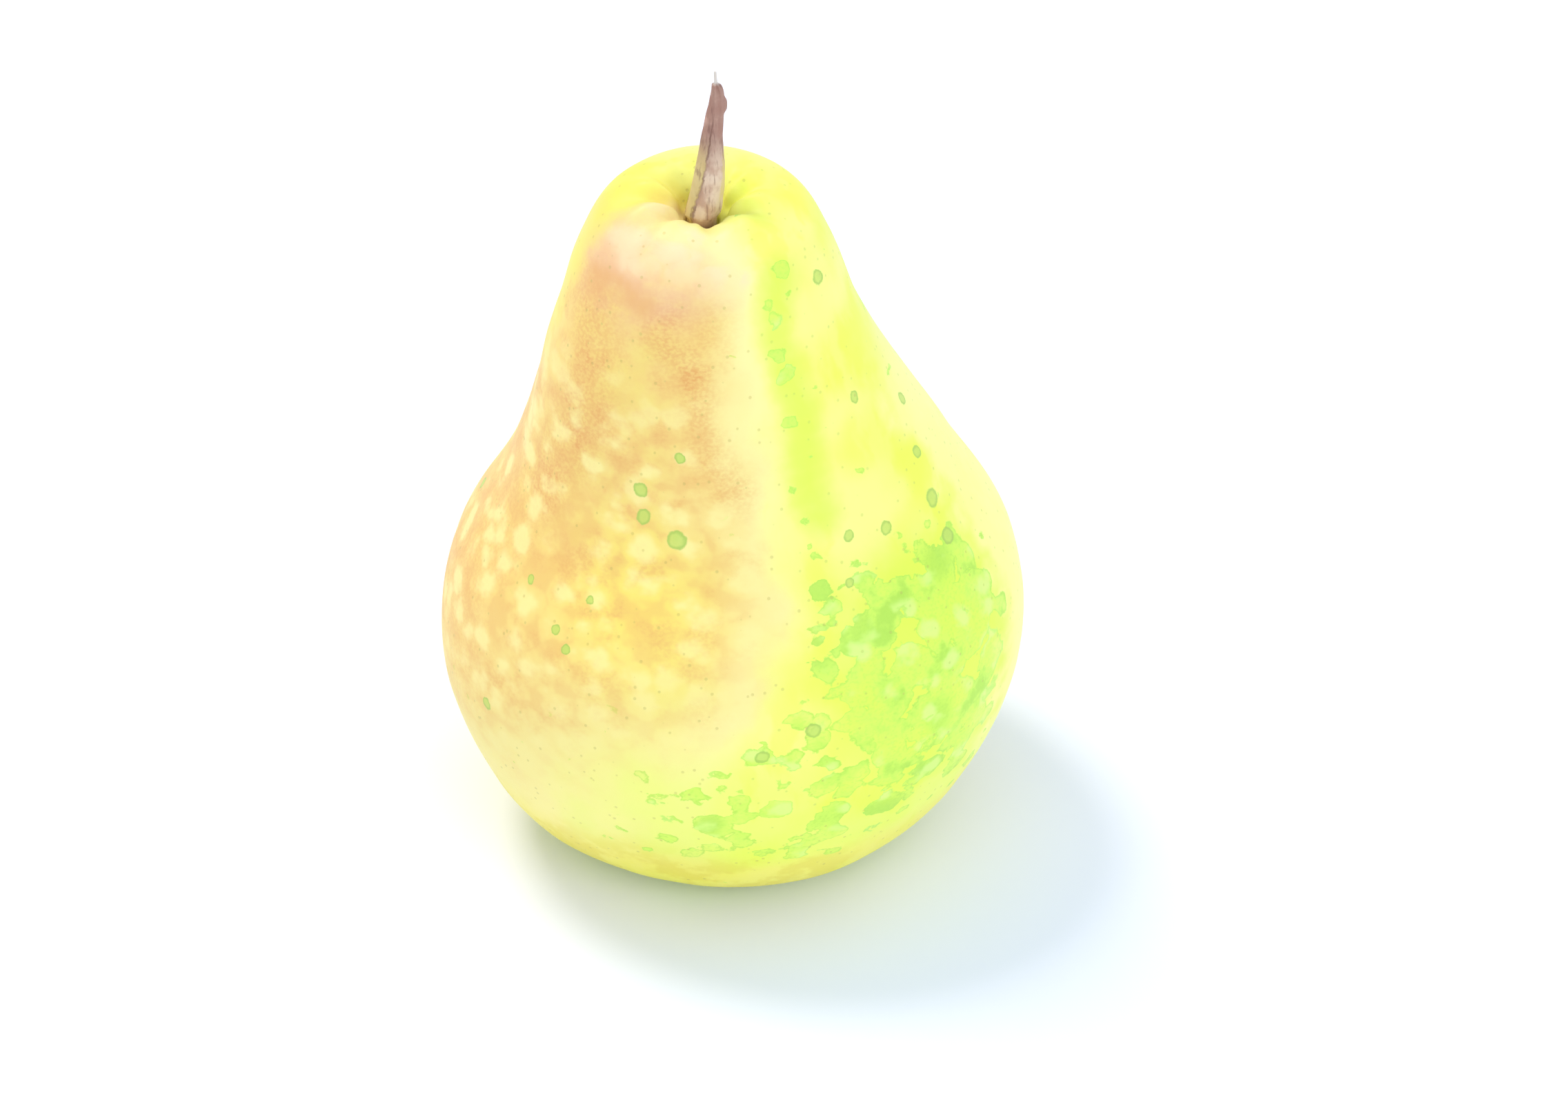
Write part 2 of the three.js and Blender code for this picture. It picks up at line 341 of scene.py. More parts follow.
# %% Swelling and tilt of the fruit
OVAL = (0.008, 2, -0.6)
THREE_SIDED = (0.007, 3, 1.1)
CALYX_RIBS = (0.012, 5, 0.5)
WAVES_GROW = (0, 12)
WAVES_FADE = (75, 89)
RIBS_GROW = (0, 5)
RIBS_FADE = (8, 30)
SHOULDER_START_HEIGHT = 71
SHOULDER_TILT = 0.17
FRUIT_SIDES = 380


def core_at(height):
    """Where the core line is at a height: sideways and depthways."""
    return [np.interp(height, core_line[:, 0], core_line[:, axis]) for axis in (1, 2)]


def swelling(angle, height):
    """How far the fruit swells beyond a round section. Angles run anticlockwise from the right."""
    body = between(WAVES_GROW, WAVES_FADE, height)
    ribs = between(RIBS_GROW, RIBS_FADE, height)
    return 1 + body * waves(angle, OVAL, THREE_SIDED) + ribs * waves(angle, CALYX_RIBS)


def fruit_point(radius, height, angle):
    core_x, core_y = core_at(height)
    across = radius * swelling(angle, height)
    tilt = SHOULDER_TILT * smoothstep(SHOULDER_START_HEIGHT, DIMPLE_FLOOR, height)
    return np.stack([core_x + across * np.cos(angle), core_y + across * np.sin(angle),
                     height + tilt * across * np.sin(angle)], axis=-1)


angles = np.linspace(0, 2 * math.pi, FRUIT_SIDES, endpoint=False)
skin_rings = fruit_point(section[:, :1], section[:, 1:], angles[None, :])
print("skin:", skin_rings.shape[0], "rings of", skin_rings.shape[1], "points")

# %% [markdown]
# ## Relief of the skin
# Seen close, a pear's skin has shallow lumps, puckers that run out of the stem's dimple, and folds round the
# dried calyx. Together they stand out or sink in by 0.6 mm at most, but they break the highlight as on the
# real fruit. They could be painted as bumps in the material. As moved points they also change the outline and
# the mesh itself.

# %% Lumps, puckers and folds
LUMP_DEPTH = 0.32
LUMP_GRAIN = 17.0
LUMP_SEED = 3.1
RIPPLE_DEPTH = 0.09
RIPPLE_GRAIN = 5.0
RIPPLE_SEED = 8.7
LUMPS_START_HEIGHTS = (0.3, 4)
STEM_FOOT = (-3.0, -3.3)
PUCKER_DEPTH = 0.38
PUCKER_COUNT = 7
PUCKER_START = 0.4
PUCKER_UNEVENNESS = 1.3
FINE_PUCKERS = (0.5, 11, 0)
PUCKERS_START_HEIGHTS = (78, 86)
PUCKERS_BEGIN = (2.2, 4.5)
PUCKERS_END = (5.5, 12)
FOLD_DEPTH = 0.22
FOLD_COUNT = 10
FOLD_UNEVENNESS = 1.2
FOLDS_END_HEIGHTS = (4, 6)
FOLDS_BEGIN = (2.4, 4)
FOLDS_END = (6.5, 9)
SMALLEST_LENGTH = 1e-9


def lumps(points, grain, seed):
    """Smooth noise from -1 to 1 at each point, with lumps as wide as the grain."""
    flat = points.reshape(-1, 3) / grain + seed
    return np.array([noise.noise(Vector(p)) for p in flat]).reshape(points.shape[:-1])


def outward(rings):
    """The direction that faces out at each point of a stack of rings."""
    along_ring = np.roll(rings, -1, axis=1) - np.roll(rings, 1, axis=1)
    across_rings = np.gradient(rings, axis=0)
    out = np.cross(along_ring, across_rings)
    return out / np.maximum(np.linalg.norm(out, axis=-1, keepdims=True), SMALLEST_LENGTH)


def skin_relief(rings):
    """How far each point of the skin stands out, in millimetres."""
    x, y, height = (rings[..., axis] for axis in range(3))
    from_stem = np.hypot(x - STEM_FOOT[0], y - STEM_FOOT[1])
    round_stem = np.arctan2(y - STEM_FOOT[1], x - STEM_FOOT[0])
    drift = PUCKER_UNEVENNESS * np.sin(2 * round_stem)
    pucker = np.cos(PUCKER_COUNT * round_stem + drift + PUCKER_START) + waves(round_stem, FINE_PUCKERS)
    puckers = smoothstep(*PUCKERS_START_HEIGHTS, height) * between(PUCKERS_BEGIN, PUCKERS_END, from_stem)
    round_core = np.arctan2(y, x)
    fold = np.cos(FOLD_COUNT * round_core + FOLD_UNEVENNESS * np.sin(3 * round_core))
    folds = (1 - smoothstep(*FOLDS_END_HEIGHTS, height)) * between(FOLDS_BEGIN, FOLDS_END, np.hypot(x, y))
    standing = smoothstep(*LUMPS_START_HEIGHTS, height)
    return (standing * LUMP_DEPTH * lumps(rings, LUMP_GRAIN, LUMP_SEED)
            + standing * RIPPLE_DEPTH * lumps(rings, RIPPLE_GRAIN, RIPPLE_SEED)
            + PUCKER_DEPTH * puckers * pucker + FOLD_DEPTH * folds * fold)


relief = skin_relief(skin_rings)
skin_rings = skin_rings + outward(skin_rings) * relief[..., None]
print("relief from", round(float(relief.min()), 2), "to", round(float(relief.max()), 2), "mm")

# %% [markdown]
# The stem and the calyx stand in plain sockets, which the skin's rings run on into. So the fruit is one
# closed body, from the top of the calyx's socket to the foot of the stem's.

# %% Sockets
SOCKET_RADIUS = 2.05
SOCKET_DEPTH = 6.3
SOCKET_LIP = [(2.3, 0.2), (SOCKET_RADIUS, 0.6)]
CALYX_SOCKET_RADIUS = 1.8
CALYX_SOCKET_TOP = 7.9
CALYX_SOCKET_FOOT = BASIN_DEPTH + 0.5

calyx_socket = [level_ring((0, 0), CALYX_SOCKET_RADIUS, height, FRUIT_SIDES)
                for height in (CALYX_SOCKET_TOP, CALYX_SOCKET_FOOT)]
stem_socket = [level_ring(STEM_FOOT, radius, DIMPLE_FLOOR - drop, FRUIT_SIDES)
               for radius, drop in (*SOCKET_LIP, (SOCKET_RADIUS, SOCKET_DEPTH))]
fruit_rings = np.concatenate([calyx_socket, skin_rings, stem_socket])
socket_floor = (*STEM_FOOT, DIMPLE_FLOOR - SOCKET_DEPTH)
fruit_body = closed_loft(fruit_rings, (0, 0, CALYX_SOCKET_TOP), socket_floor)
print("fruit:", len(fruit_body[0]), "points and", len(fruit_body[1]), "faces")

# %% [markdown]
# The solid model was stood with the middle of its bounding box above the origin. The same shift is found
# here by comparing the fruit's box in the solid model with the box of the skin.

# %% Where the pear stands
skin_low, skin_high = skin_rings.reshape(-1, 3).min(0), skin_rings.reshape(-1, 3).max(0)
fruit_low, fruit_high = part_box("fruit")
stand = (np.array(fruit_low) + np.array(fruit_high)) / (2 * MM) - (skin_low + skin_high) / 2
stand[2] = 0
print("the form is moved by", [round(float(v), 2) for v in stand], "mm")


def stood(body):
    return body[0] + stand, body[1]


def plain(vector):
    """A NumPy vector as plain numbers, which is what a socket takes."""
    return tuple(float(v) for v in vector)


# %% [markdown]
# ## The skin's finish
# The colours lie in soft layers over a lemon yellow ground: a tan-orange blush on the sunny left side, full
# of paler dapples, a pale band beside it, a mottled green streak down the right of the neck, and green
# blotches low on the right. One way is to paint a picture and wrap it round. Here each layer is a mask
# worked out from the place itself, from the angle round the core and the height, so it has no seams and
# stays sharp at any size. A place on the skin is written as an angle to the right of the front, in degrees,
# and a height.

# %% Places on the skin
MM_PER_DEGREE = 0.5
outer_skin = skin_rings[:section[:, 1].argmax() + 1].reshape(-1, 3)


def surface_place(angle, height):
    """The point of the skin at an angle to the right of the front, in degrees, and at a height."""
    core_x, core_y = core_at(height)
    off = np.arctan2(outer_skin[:, 1] - core_y, outer_skin[:, 0] - core_x) - np.radians(angle - 90)
    degrees_off = np.degrees(np.abs(np.angle(np.exp(1j * off))))
    nearest = (np.abs(outer_skin[:, 2] - height) + degrees_off * MM_PER_DEGREE).argmin()
    return plain(outer_skin[nearest] + stand)


print("the front of the belly is at", [round(v, 1) for v in surface_place(0, 30)], "mm")

# %% [markdown]
# Masks with plain edges would look cut out. So the place is stirred twice, coarsely and finely, before
# anything is measured on it, and angles wobble with a broad noise. The neck leans to the left and forward,
# and the angle is measured round its own core there.

# %% Masks on the skin
COARSE_STIR = (9, 2.2)
FINE_STIR = (1.2, 0.4)
NECK_LEAN_HEIGHTS = (50, 74)
NECK_LEFT = 2.6
NECK_FORWARD = 1.8
WOBBLE_GRAIN = 16
ANGLE_WOBBLE = 40
TRAIL_STEPS = 3


class SkinRecipe(Recipe):
    """A recipe that knows the angle of each point to the right of the front, and its height."""

    def __init__(self, name):
        super().__init__(name)
        self.spot = self.place()
        self.wavy = self.stirred(self.stirred(self.spot, *COARSE_STIR), *FINE_STIR)
        x, y, self.height = self.axes(self.wavy - plain(stand))
        lean = self.fade(self.height, *NECK_LEAN_HEIGHTS)
        front = (y + lean * NECK_FORWARD) * -1
        self.angle = self.turn(x + lean * NECK_LEFT, front)
        self.broad = self.clouds(self.spot, WOBBLE_GRAIN)
        self.unsteady = self.angle + (self.broad - 0.5) * ANGLE_WOBBLE

    def kept_between(self, mask, bottom, top):
        """The mask, kept to the heights between two soft edges."""
        return mask * self.fade(self.height, *bottom) * self.fade(self.height, *top)

    def patch(self, left, right, bottom, top):
        """1 inside a patch of the skin. Each edge is a pair: where the patch starts, and where it is full."""
        across = self.fade(self.unsteady, *left) * self.fade(self.unsteady, *right)
        return self.kept_between(across, bottom, top)

    def length_of(self, vector):
        return self.node("ShaderNodeVectorMath", {"operation": "LENGTH"}, {0: vector}, 1)

    def away(self, place, angle, height):
        """Millimetres from a point of the skin."""
        ends = {0: place, 1: surface_place(angle, height)}
        return self.node("ShaderNodeVectorMath", {"operation": "DISTANCE"}, ends, 1)

    def near(self, angle, height, reach, core=0.0):
        """1 within core millimetres of a point of the skin, 0 further from it than reach."""
        return self.fade(self.away(self.wavy, angle, height), reach, core)

    def trail(self, stations, reach, core):
        """1 along a soft stroke through stations on the skin, each an angle and a height."""
        closest, *others = [self.away(self.wavy, *station) for station in smooth_line(stations, TRAIL_STEPS)]
        for away in others:
            closest = closest.least(away)
        return self.fade(closest, reach, core)


# %% [markdown]
# Nothing on a fruit has a plain edge, so the masks are also broken up by noise of several grains. `ragged`
# noise is cut at a level to make islands with bays and capes: the more of it a mask lets through, the more
# they grow together. `packed` is for dapples: the distance from the middle of a cell gives round spots that
# lie close beside each other, and noise on top makes them unlike. Both are a little wider than they are
# tall, as the marks on a pear are.

# %% Noise for the skin
FLATTENED = (1.0, 1.0, 1.35)
FINE_GRAIN = 1.6
POWDER_GRAIN = 0.5
MOTTLE_GRAIN = 7
ISLAND_GRAIN = 4.4
ISLAND_CELL = 4.2
DAPPLE_GRAIN = 3
DAPPLE_CELL = 4.8
WIDE_STIR = (5, 1.3)
SMALL_STIR = (1.1, 0.45)
ISLAND_LEVEL = 0.72
ISLAND_GROWTH = 0.38
ISLAND_EDGE = (-0.008, 0.012)
ISLAND_RIM = (0.04, 0.006)


class MottledSkin(SkinRecipe):
    """The recipe of the skin, with the kinds of noise that its layers share."""

    def __init__(self, name):
        super().__init__(name)
        flat = self.spot * FLATTENED
        self.fine = self.clouds(self.spot, FINE_GRAIN, 4)
        self.grains = self.clouds(flat, POWDER_GRAIN)
        self.grainy = self.clouds(flat, MOTTLE_GRAIN, 4) * 0.75 + self.fine * 0.25
        rough = self.stirred(self.stirred(flat, *WIDE_STIR), *SMALL_STIR)
        self.ragged = self.clouds(rough, ISLAND_GRAIN, 5) * 0.6 + (1 - self.cells(rough, ISLAND_CELL)) * 0.4
        spots = self.cells(self.stirred(flat, *WIDE_STIR), DAPPLE_CELL)
        self.packed = spots * 0.9 + self.clouds(flat, DAPPLE_GRAIN) * 0.8

    def islands(self, amount):
        """Ragged islands, none where the amount is 0 and all in one where it is 1, and their rims."""
        level = self.ragged + amount * ISLAND_GROWTH - ISLAND_LEVEL
        inside = self.fade(level, *ISLAND_EDGE)
        return inside, inside * self.fade(level, *ISLAND_RIM)


# %% [markdown]
# The ground is lemon, paler in broad soft clouds and in faint upright strokes. It is warmer along the left
# side and at the foot, straw pale low on the left, and pale again in a band beside the blush, which widens
# below the neck. The basin underneath is touched with russet. In all these layers, the number that a mask
# is multiplied by is how much of its colour it lets through, and the pair of numbers after a noise is where
# it is cut.

# %% Ground
LEMON = shade(237, 245, 82)
PALE_LEMON = shade(246, 248, 130)
WARM_YELLOW = shade(244, 229, 94)
PALE_STRAW = shade(249, 234, 148)
PALE_BAND = shade(250, 234, 158)
OCHRE = shade(226, 208, 70)
RUSSET = shade(204, 170, 92)
STROKE_STRETCH = (1.0, 1.0, 0.2)
STROKE_GRAIN = 5
WARM_LEFT = ((-150, -100), (-30, -70), (0, 8), (95, 90))
STRAW_LEFT = ((-90, -70), (4, -14), (4, 14), (46, 32))
BAND_LEFT = (-26, 0)
BAND_RIGHT = (34, 16)
BAND_HEIGHTS = ((14, 26), (90, 84))
BAND_WIDENS_BELOW = 70
BAND_SLANT = 0.6
FOOT_HEIGHTS = ((2, 4), (17, 9))
CLEAR_RIGHT_FOOT = ((20, 40), (110, 90), (-9, -8), (30, 25))
BASIN_STRETCH = (1.0, 1.0, 0.5)
BASIN_REACH = (13, 4)


def ground(skin):
    colour = skin.mix(skin.fade(skin.broad, 0.38, 0.6), LEMON, PALE_LEMON)
    strokes = skin.clouds(skin.wavy * STROKE_STRETCH, STROKE_GRAIN, 3)
    colour = skin.mix(skin.fade(strokes, 0.5, 0.62) * 0.45, colour, PALE_LEMON)
    colour = skin.mix(skin.fade(strokes, 0.46, 0.36) * 0.5, colour, LEMON)
    colour = skin.mix(skin.patch(*WARM_LEFT) * 0.8, colour, WARM_YELLOW)
    colour = skin.mix(skin.patch(*STRAW_LEFT) * 0.85, colour, PALE_STRAW)
    below_neck = (BAND_WIDENS_BELOW - skin.height).most(0)
    band = skin.fade(skin.unsteady, *BAND_LEFT)
    band = band * skin.fade(skin.unsteady + below_neck * BAND_SLANT, *BAND_RIGHT)
    colour = skin.mix(skin.kept_between(band, *BAND_HEIGHTS) * 0.85, colour, PALE_BAND)
    foot_begins, foot_ends = FOOT_HEIGHTS
    foot = skin.fade(skin.height, *foot_begins) * skin.fade(skin.height, *foot_ends)
    colour = skin.mix(foot * 0.6, colour, WARM_YELLOW)
    ochre = foot * skin.fade(skin.grainy, 0.44, 0.56) * (1 - skin.patch(*CLEAR_RIGHT_FOOT))
    colour = skin.mix(ochre * 0.5, colour, OCHRE)
    basin = skin.fade(skin.length_of(skin.spot * BASIN_STRETCH), *BASIN_REACH)
    return skin.mix(basin * skin.fade(skin.grainy, 0.42, 0.54) * 0.7, colour, RUSSET)


# %% [markdown]
# Green that hasn't ripened yet shows as a chartreuse wash with ragged blotches in it. They run together low
# on the right, lie apart along the foot, and follow a streak down the right of the neck. At the far right
# they break up into a pale rim, which is painted reflected light along that side. The back has patches of its
# own. Single blotches stand at an angle and a height, and reach so many millimetres.

# %% Green
# The pale rim's colour is painted reflected light.
RIM_LIGHT = shade(250, 250, 146)
CHARTREUSE = shade(220, 246, 76)
PALE_GREEN = shade(208, 242, 90)
GREEN = shade(172, 218, 74)
MILKY_GREEN = shade(224, 250, 134)
LEAFY_SIDE = ((10, 26), (78, 64), (8, 18), (54, 46))
LEAFY_FOOT = ((-34, -16), (60, 40), (9, 14), (36, 24))
HEART = (47, 35, 22, 12)
BELOW_HEART = (27, 24, 20, 8)
NECK_STREAK = [(42, 84), (33, 80), (33, 74), (33, 69), (28, 63), (28, 57)]
LOW_BEHIND = (160, 34, 26, 6)
NECK_BEHIND = (130, 66, 16, 3)
LEFT_BEHIND = (-150, 76, 12, 3)
RIM_BEGINS = (58, 76)
RIM_ENDS = (128, 92)
RIM_HEIGHTS = ((8, 20), (76, 60))
RIM_WOBBLE = 30
BLOTCHES = [(24, 48, 4.5), (30, 43, 4), (20, 41, 5), (50, 28, 6), (6, 30, 4), (-13, 21, 6), (-5, 20, 6),
            (20, 18, 5), (34, 18, 6), (33, 39, 5), (27, 28, 6), (9, 22, 5), (44, 30, 5), (2, 15, 4),
            (14, 14, 4)]
DEEP_BLOTCHES = [(22, 49, 4), (17, 42, 4), (44, 30, 4), (29, 44, 3), (55, 47, 4), (-5, 20, 3), (34, 18, 4)]


def green(skin, colour):
    leafy = skin.patch(*LEAFY_SIDE)
    foot = skin.patch(*LEAFY_FOOT)
    heart = skin.near(*HEART)
    streak = skin.trail(NECK_STREAK, 4.5, 0.5)
    behind = skin.near(*LOW_BEHIND).most(skin.near(*NECK_BEHIND)).most(skin.near(*LEFT_BEHIND) * 0.6)
    wash = (leafy * 0.5).most(heart * 0.9).most(streak * 0.8).most(foot * 0.45).most(behind * 0.8)
    colour = skin.mix(wash, colour, CHARTREUSE)
    # A pale rim of painted reflected light along the right side, which also thins the blotches there.
    side = skin.fade(skin.unsteady + (skin.ragged - 0.5) * RIM_WOBBLE, *RIM_BEGINS)
    side = skin.kept_between(side * skin.fade(skin.unsteady, *RIM_ENDS), *RIM_HEIGHTS)
    colour = skin.mix(side * 0.8, colour, RIM_LIGHT)
    amount = (leafy * 0.47).most(foot * 0.5).most(heart * 0.9).most(streak * 0.42).most(behind * 0.65)
    amount = amount.most(skin.near(*BELOW_HEART) * 0.65)
    for blotch in BLOTCHES:
        amount = amount.most(skin.near(*blotch) * 0.9)
    inside, rim = skin.islands(amount * (1 - side * 0.75))
    colour = skin.mix(inside * (0.35 + skin.fade(skin.grainy, 0.36, 0.58) * 0.6), colour, PALE_GREEN)
    deep = skin.fade(skin.grainy, 0.5, 0.62) * heart.most(leafy * 0.8)
    for blotch in DEEP_BLOTCHES:
        deep = deep.most(skin.near(*blotch, 1) * 0.8)
    colour = skin.mix(inside * deep * 0.8, colour, GREEN)
    colour = skin.mix(inside * skin.fade(skin.grains, 0.45, 0.7) * 0.3, colour, GREEN)
    milky = inside * skin.fade(skin.packed, 0.82, 0.55)
    colour = skin.mix(milky * 0.7, colour, MILKY_GREEN)
    return skin.mix(rim * 0.6, colour, GREEN)


print("green:", len(BLOTCHES), "blotches and", len(DEEP_BLOTCHES), "deeper spots")

# %% [markdown]
# The blush covers the side that faced the sun, and its lower edge rises towards the right. It is deepest on
# the neck, in a streak that wanders down the front and in another along the left, and golden in the middle
# of the belly. The belly is full of soft pale dapples with a deeper net between them.

# %% Blush
BLUSH = shade(242, 209, 120)
DEEP_BLUSH = shade(229, 170, 94)
DAPPLE = shade(250, 238, 154)
GOLD = shade(247, 226, 96)
WIDE_BLUSH = ((-150, -84), (20, -10), (2, 4), (80, 70))
NECK_BLUSH = ((-125, -74), (24, -14), (58, 68), (92, 84))
BACK_BLUSH = (-165, 54, 24, 2)
GOLDEN_BELLY = (-22, 47, 15, 3)
DEEP_FLANK = ((-125, -88), (-44, -66), (12, 26), (68, 52))
FOOT_RISES_FROM = 50
FOOT_SLANT = 0.3
FOOT_EDGE = (12, 40)
BELLY_TOP = (80, 62)
FRONT_STREAK = [(-18, 82), (-19, 78), (-9, 75), (-4, 72), (-3, 68), (1, 64), (7, 60)]
LEFT_STREAK = [(-60, 82), (-54, 78), (-48, 72), (-49, 66), (-57, 60), (-60, 55)]
YELLOW_EDGE = [(-84, 88), (-86, 82), (-90, 76), (-92, 70)]


def blush(skin, colour):
    foot = skin.height - (skin.angle + FOOT_RISES_FROM).most(0) * FOOT_SLANT
    wide = skin.patch(*WIDE_BLUSH)
    neck = skin.patch(*NECK_BLUSH)
    sunny = wide.most(neck) * skin.fade(foot, *FOOT_EDGE)
    sunny = sunny.most(skin.near(*BACK_BLUSH) * 0.5) * (1 - skin.trail(YELLOW_EDGE, 5, 1) * 0.6)
    colour = skin.mix(sunny * (0.85 + skin.fade(skin.grainy, 0.4, 0.6) * 0.15), colour, BLUSH)
    colour = skin.mix(sunny * skin.near(*GOLDEN_BELLY) * 0.6, colour, GOLD)
    streaks = skin.trail(FRONT_STREAK, 4.5, 0.5).most(skin.trail(LEFT_STREAK, 8, 0.5) * 0.9)
    patchy = skin.fade(skin.grainy, 0.46, 0.62)
    grained = 0.5 + skin.fade(skin.grains, 0.3, 0.7)
    flank = skin.patch(*DEEP_FLANK)
    deep = (streaks * (0.5 + patchy * 0.35)).most(patchy * 0.35).most(flank * 0.32) * grained
    colour = skin.mix(sunny * deep, colour, DEEP_BLUSH)
    belly = sunny * skin.fade(skin.height, *BELLY_TOP)
    colour = skin.mix(belly * skin.fade(skin.packed, 0.86, 1.12) * 0.36, colour, DEEP_BLUSH)
    return skin.mix(belly * skin.fade(skin.packed, 0.88, 0.56) * 0.66, colour, DAPPLE)


# %% [markdown]
# Below the stem the blush pales into peach, with cream patches over the shoulder that are a painted
# highlight, and ends at a deeper band. None of these has an even edge, so clouds and ragged noise break them.

# %% Crown
PEACH = shade(237, 190, 140)
# The cream below is the colour of a painted highlight on the shoulder.
HIGHLIGHT_CREAM = shade(247, 222, 174)
HIGHLIGHT_CROWN = ((-86, -60), (34, 14), (80, 86), (93, 91))
PEACH_SHOULDER = [(-64, 85), (-45, 84.5), (-26, 84.5)]
DEEP_BAND = [(-62, 82), (-47, 82.5), (-30, 82.5)]
HIGHLIGHT_LEFT = [(-62, 87.4), (-50, 87), (-42, 86)]
HIGHLIGHT_FRONT = [(-16, 88), (4, 87.4), (18, 86.6)]


def crown(skin, colour):
    clouded = 0.3 + skin.fade(skin.grainy, 0.38, 0.58) * 0.65
    broken = 0.25 + skin.fade(skin.ragged, 0.42, 0.6) * 0.6
    # The cream patch and the two cream trails are a painted highlight on the shoulder below the stem.
    pale = skin.patch(*HIGHLIGHT_CROWN)
    colour = skin.mix(pale * (0.3 + broken * 0.4), colour, HIGHLIGHT_CREAM)
    colour = skin.mix(skin.trail(PEACH_SHOULDER, 9, 0) * clouded, colour, PEACH)
    colour = skin.mix(skin.trail(DEEP_BAND, 3, 0.5) * clouded * 0.6, colour, DEEP_BLUSH)
    colour = skin.mix(skin.trail(HIGHLIGHT_LEFT, 3, 0.4) * broken * 0.8, colour, HIGHLIGHT_CREAM)
    return skin.mix(skin.trail(HIGHLIGHT_FRONT, 5, 0.4) * broken, colour, HIGHLIGHT_CREAM)


# %% [markdown]
# Small green flecks with a darker rim are scattered over the fruit. Each stands at an angle and a height,
# and has a width in millimetres. Dividing a distance by the width gives every fleck the same edge, at one
# half, so one mask serves them all.

# %% Flecks
FLECK_GREEN = shade(190, 214, 94)
FLECK_RIM = shade(146, 184, 74)
FLECK_STIR = (1.2, 0.35)
FLECK_FINE_STIR = (0.4, 0.1)
FRONT_FLECKS = [(-14.6, 55.2, 2.1), (-24.3, 60.2, 1.6), (-23.7, 57.3, 1.7), (-51.9, 45.5, 1.0),
                (-35.3, 46.6, 1.0), (-41.1, 42.4, 1.1), (-36.6, 40.9, 1.1), (-55.0, 28.7, 1.4),
                (-11.7, 64.5, 1.2), (55.6, 67.0, 1.3), (78.5, 62.3, 1.5), (68.9, 57.0, 1.6),
                (64.1, 51.9, 2.2), (62.8, 47.8, 2.0), (44.7, 52.6, 1.6), (33.0, 53.5, 1.3),
                (29.2, 48.6, 1.1), (63.9, 81.6, 1.7), (5.6, 30.7, 1.6), (16.3, 33.6, 1.8)]
BACK_FLECKS = [(120, 58, 1.8), (138, 47, 1.4), (152, 61, 1.2), (176, 40, 1.7), (-166, 55, 1.3),
               (-132, 36, 1.6), (-118, 62, 1.2), (-98, 44, 1.5)]


def flecks(skin, colour):
    ragged = skin.stirred(skin.stirred(skin.spot, *FLECK_STIR), *FLECK_FINE_STIR)
    closest, *others = [skin.away(ragged, angle, height) * (1 / width)
                        for angle, height, width in FRONT_FLECKS + BACK_FLECKS]
    for away in others:
        closest = closest.least(away)
    colour = skin.mix(skin.fade(closest, 0.6, 0.48) * (0.6 + skin.fine * 0.4), colour, FLECK_GREEN)
    rim = skin.fade(closest, 0.62, 0.5) * skin.fade(closest, 0.3, 0.5)
    return skin.mix(rim * 0.5, colour, FLECK_RIM)


print("flecks:", len(FRONT_FLECKS), "in front and", len(BACK_FLECKS), "behind")

# %% [markdown]
# A fine sprinkle of lenticels, the skin's breathing pores, goes over everything. They are slightly sunk, in
# a skin with a fine grain. The surface is waxy rather than glossy, and lets a little light in under it.

# %% Skin
PORE = shade(178, 168, 84)
PORE_SPACING = 1.7
PORE_EDGE = (0.15, 0.08)
SKIN_GRAIN = 0.9
SKIN_GRAIN_DEPTH = 0.05
LIGHT_REACH = (1.0, 0.9, 0.35)


def skin_finish():
    skin = MottledSkin("pear_skin")
    colour = flecks(skin, crown(skin, blush(skin, green(skin, ground(skin)))))
    pores = skin.fade(skin.cells(skin.spot, PORE_SPACING), *PORE_EDGE)
    colour = skin.mix(pores * 0.35, colour, PORE)
    relief = skin.bump(skin.clouds(skin.spot, SKIN_GRAIN, 3) * 0.6 - pores * 0.4, SKIN_GRAIN_DEPTH)
    return skin.surface({
        "Base Color": colour, "Roughness": 0.4 + skin.fine * 0.14, "Normal": relief,
        "Specular IOR Level": 0.35, "Subsurface Weight": 0.1, "Subsurface Radius": LIGHT_REACH,
        "Subsurface Scale": 2 * MM,
    })


make_piece("pear_fruit", [stood(fruit_body)], skin_finish(), "fruit")

# %% [markdown]
# ## The stem
# The stem is a woody rod with ridges that run along it and one long groove down its front, a knob where a
# bud once sat, and a torn tip with one dry fibre left standing. Its radius and its slight bend follow the
# solid model. The ridges are waves in the radius that twist slowly on the way up, the groove is a narrow
# dent that follows its own line, and the knob is a soft swelling on the right. Each station is a rise above
# the dimple's floor, a bend to the right, a bend to the back, and a radius.

# %% Form of the stem
STEM_ROOT_DEPTH = 6
STEM_ROOT_TOP = 0.2
STEM_ROOT_RADIUS = 1.75
STEM_STATIONS = [(0.9, 0.0, 0.0, 2.1), (3.2, 0.5, 0.1, 2.0), (6.2, 0.95, 0.3, 1.78), (9.2, 1.2, 0.5, 1.42),
                 (12.2, 1.45, 0.7, 1.12), (14.6, 1.8, 0.8, 0.9), (16.4, 1.9, 0.8, 0.74),
                 (17.6, 1.77, 0.8, 0.52), (17.95, 1.72, 0.8, 0.2), (19.3, 1.65, 0.8, 0.15)]
STEM_TIP = 0.1
STEM_SIDES = 72
STEM_ROWS = 150
STEM_SPAN_STEPS = 24
RIDGE_DEPTH = 0.07
RIDGES = [(1, 5, 0), (0.6, 8, 1), (0.4, 13, 2)]
RIDGE_TWIST = 0.05
STEM_LUMP_DEPTH = 0.08
STEM_LUMP_GRAIN = 1.6
STEM_LUMP_SEED = 5.3
SCAR_RISE = 14.9
SCAR_HALF_HEIGHT = 1.0
